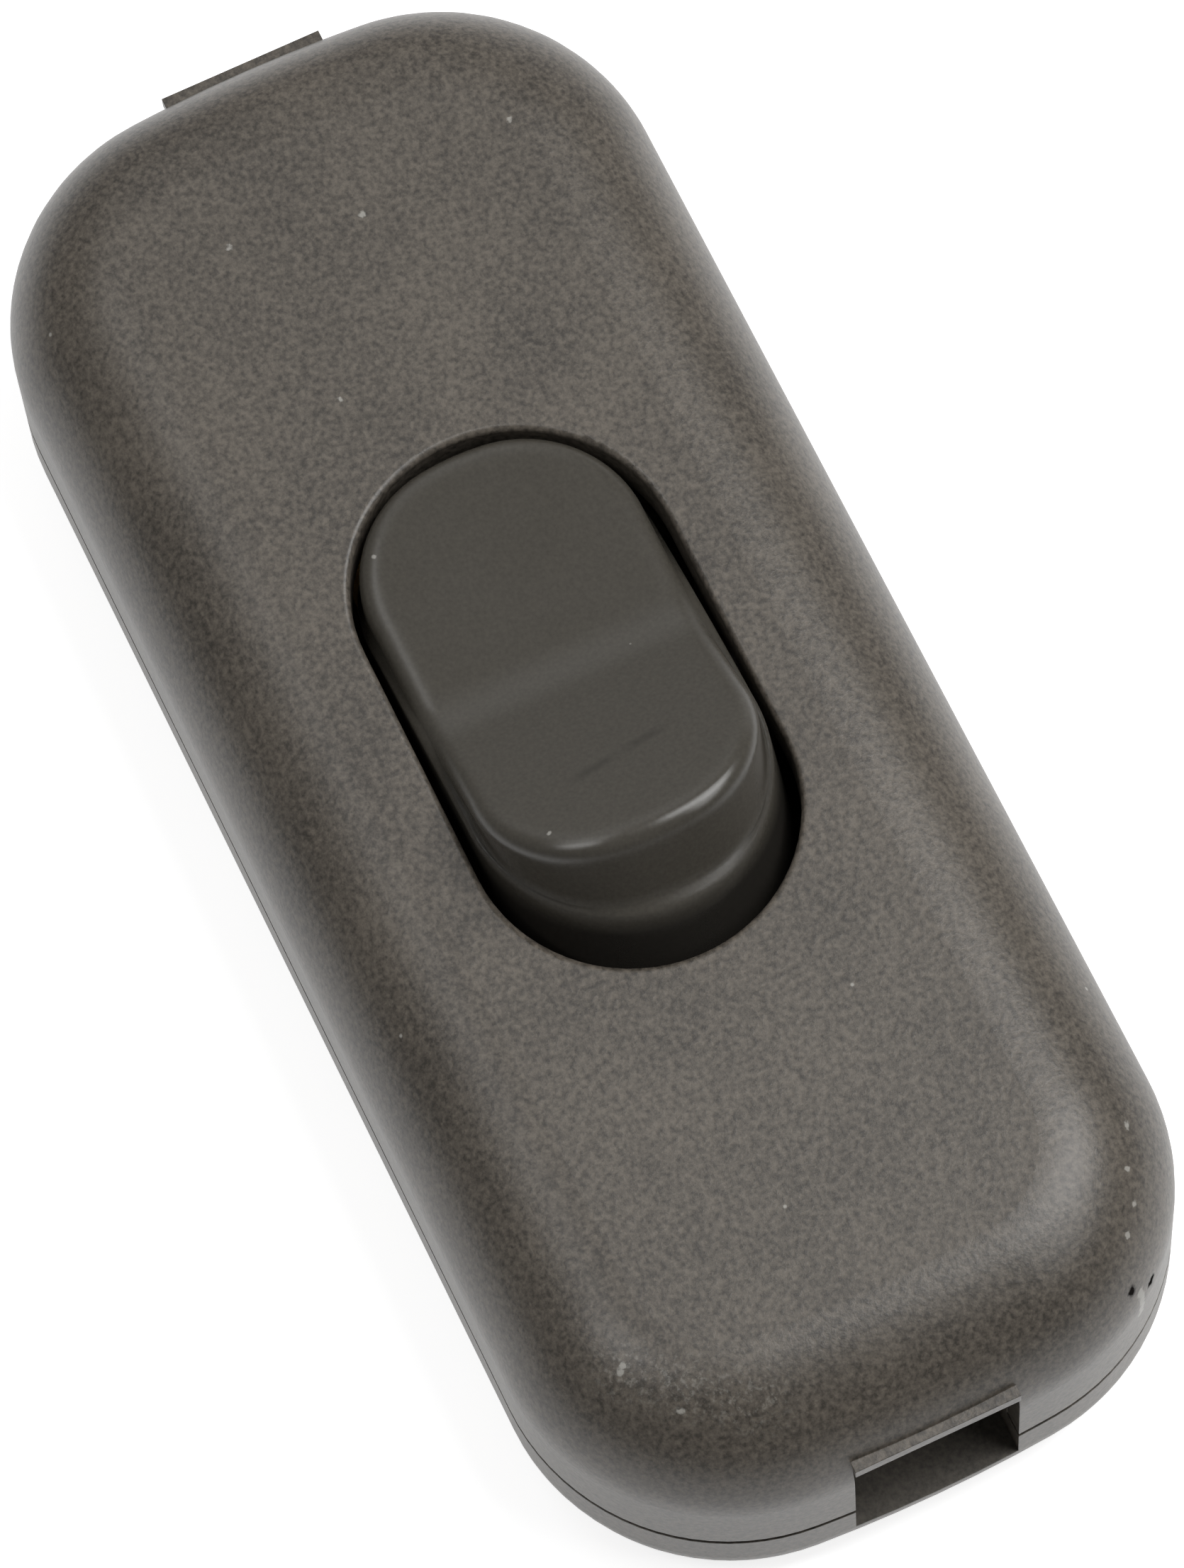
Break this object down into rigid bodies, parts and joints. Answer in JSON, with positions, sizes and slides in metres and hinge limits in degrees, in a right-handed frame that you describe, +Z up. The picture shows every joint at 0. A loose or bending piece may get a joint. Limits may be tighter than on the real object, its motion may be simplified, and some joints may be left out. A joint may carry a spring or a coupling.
{
  "type": "in-line cord rocker switch",
  "caption": "In-line cord switch: rounded two-shell plastic housing with a square cord entry at each end and a V-topped rocker that tips see-saw contacts open or closed.",
  "frame": {"origin": "centre of the flat bottom face", "axes": "+X along the cord towards the raised end of the rocker, +Y across, +Z up"},
  "size_m": [0.0608, 0.026, 0.0168],
  "materials": {
    "housing_plastic": "fine spark-eroded matt texture",
    "rocker_plastic": "smooth semi-gloss",
    "clamp_plastic": "smooth matt",
    "plunger_plastic": "natural nylon",
    "screw_steel": "zinc plated",
    "spring_steel": "drawn wire",
    "contact_brass": "bare stamped brass",
    "contact_silver": "silver alloy contact"
  },
  "bodies": {
    "housing": {"clamp_screws": "screw_steel", "far_cord_clamp": "clamp_plastic", "far_left_terminal": "contact_brass", "far_right_terminal": "contact_brass", "housing_screws": "screw_steel", "left_fixed_contact": "contact_silver", "left_fixed_strip": "contact_brass", "left_pivot_bracket": "contact_brass", "lower_cover": "housing_plastic", "near_cord_clamp": "clamp_plastic", "near_left_terminal": "contact_brass", "near_right_terminal": "contact_brass", "right_fixed_contact": "contact_silver", "right_fixed_strip": "contact_brass", "right_pivot_bracket": "contact_brass", "terminal_screws": "screw_steel", "upper_housing": "housing_plastic"},
    "rocker": {"rocker": "rocker_plastic", "left_plunger_spring": "spring_steel", "right_plunger_spring": "spring_steel"},
    "left_plunger": {"left_plunger": "plunger_plastic"},
    "left_blade": {"left_contact_blade": "contact_brass", "left_moving_contact": "contact_silver"},
    "right_plunger": {"right_plunger": "plunger_plastic"},
    "right_blade": {"right_contact_blade": "contact_brass", "right_moving_contact": "contact_silver"}
  },
  "joints": [
    {"name": "rocker_tilt", "type": "hinge", "parent": "housing", "child": "rocker", "pos_m": [0, 0, 0.0078], "axis": [0, 1, 0], "range_deg": [0, 26]},
    {"name": "left_blade_tilt", "type": "hinge", "parent": "housing", "child": "left_blade", "pos_m": [0, -0.0031, 0.00416], "axis": [0, 1, 0], "range_deg": [-14, 0]},
    {"name": "left_plunger_slide", "type": "slide", "parent": "rocker", "child": "left_plunger", "axis": [-0.225, 0, 0.9744], "range_m": [0, 0.0006], "stiffness_N_per_m": 300, "deforming": ["left_plunger_spring"]},
    {"name": "right_blade_tilt", "type": "hinge", "parent": "housing", "child": "right_blade", "pos_m": [0, 0.0031, 0.00416], "axis": [0, 1, 0], "range_deg": [-14, 0]},
    {"name": "right_plunger_slide", "type": "slide", "parent": "rocker", "child": "right_plunger", "axis": [-0.225, 0, 0.9744], "range_m": [0, 0.0006], "stiffness_N_per_m": 300, "deforming": ["right_plunger_spring"]}
  ],
  "couplings": [
    {"joint": "left_blade_tilt", "follows": "rocker_tilt", "ratio": -0.53846},
    {"joint": "right_blade_tilt", "follows": "rocker_tilt", "ratio": -0.53846}
  ]
}
